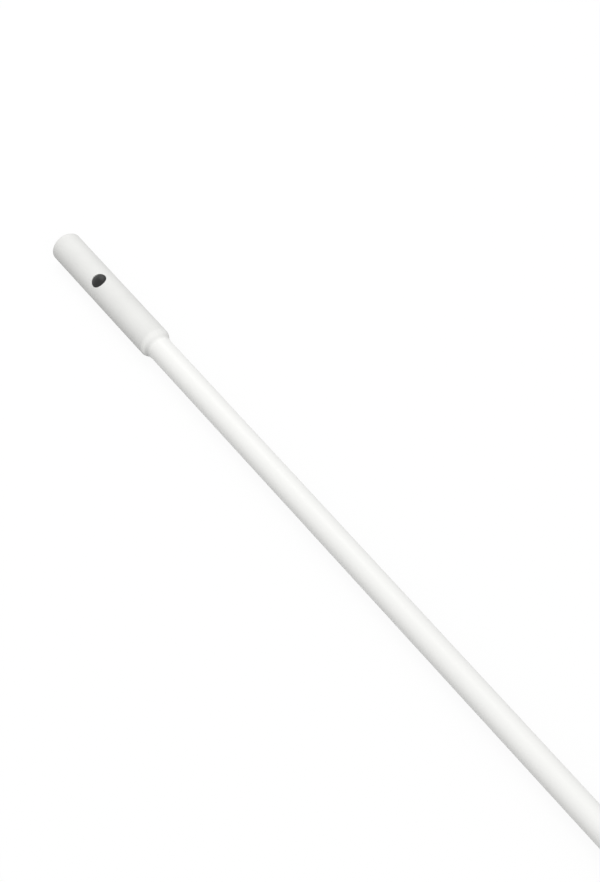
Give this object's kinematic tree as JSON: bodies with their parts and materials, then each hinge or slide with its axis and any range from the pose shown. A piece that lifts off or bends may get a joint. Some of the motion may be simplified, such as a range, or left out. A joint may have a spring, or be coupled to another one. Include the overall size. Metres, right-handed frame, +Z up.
{
  "type": "white cane",
  "caption": "Rigid white cane: a long coated tube, a slip-on tip locked by a sprung push button, and a black rubber grip with a flat side and a loop hole.",
  "frame": {"origin": "middle of the cane's length and width, on the surface that it lies on", "axes": "+X along the cane from the tip to the grip, +Z up, away from the grip's flat side"},
  "size_m": [1.2, 0.028, 0.0222],
  "materials": {
    "tip_nylon": "satin",
    "shaft_coat": "gloss",
    "button_black": "satin",
    "spring_steel": "satin",
    "grip_rubber": "matte",
    "tape": "matte",
    "cap_rubber": "satin",
    "plug_plastic": "matte"
  },
  "bodies": {
    "cane": {"tip": "tip_nylon", "shaft": "shaft_coat", "button_spring": "spring_steel", "grip": "grip_rubber", "grip_tape": "tape", "grip_cap": "cap_rubber", "handle_plug": "plug_plastic", "plug_pin": "spring_steel"},
    "button": {"lock_button": "button_black", "button_rivet": "spring_steel"}
  },
  "joints": [
    {"name": "button_press", "type": "slide", "parent": "cane", "child": "button", "axis": [0, 0.4305, -0.9026], "range_m": [0, 0.0028], "stiffness_N_per_m": 2500, "springref_m": -0.002, "deforming": ["button_spring"]}
  ]
}
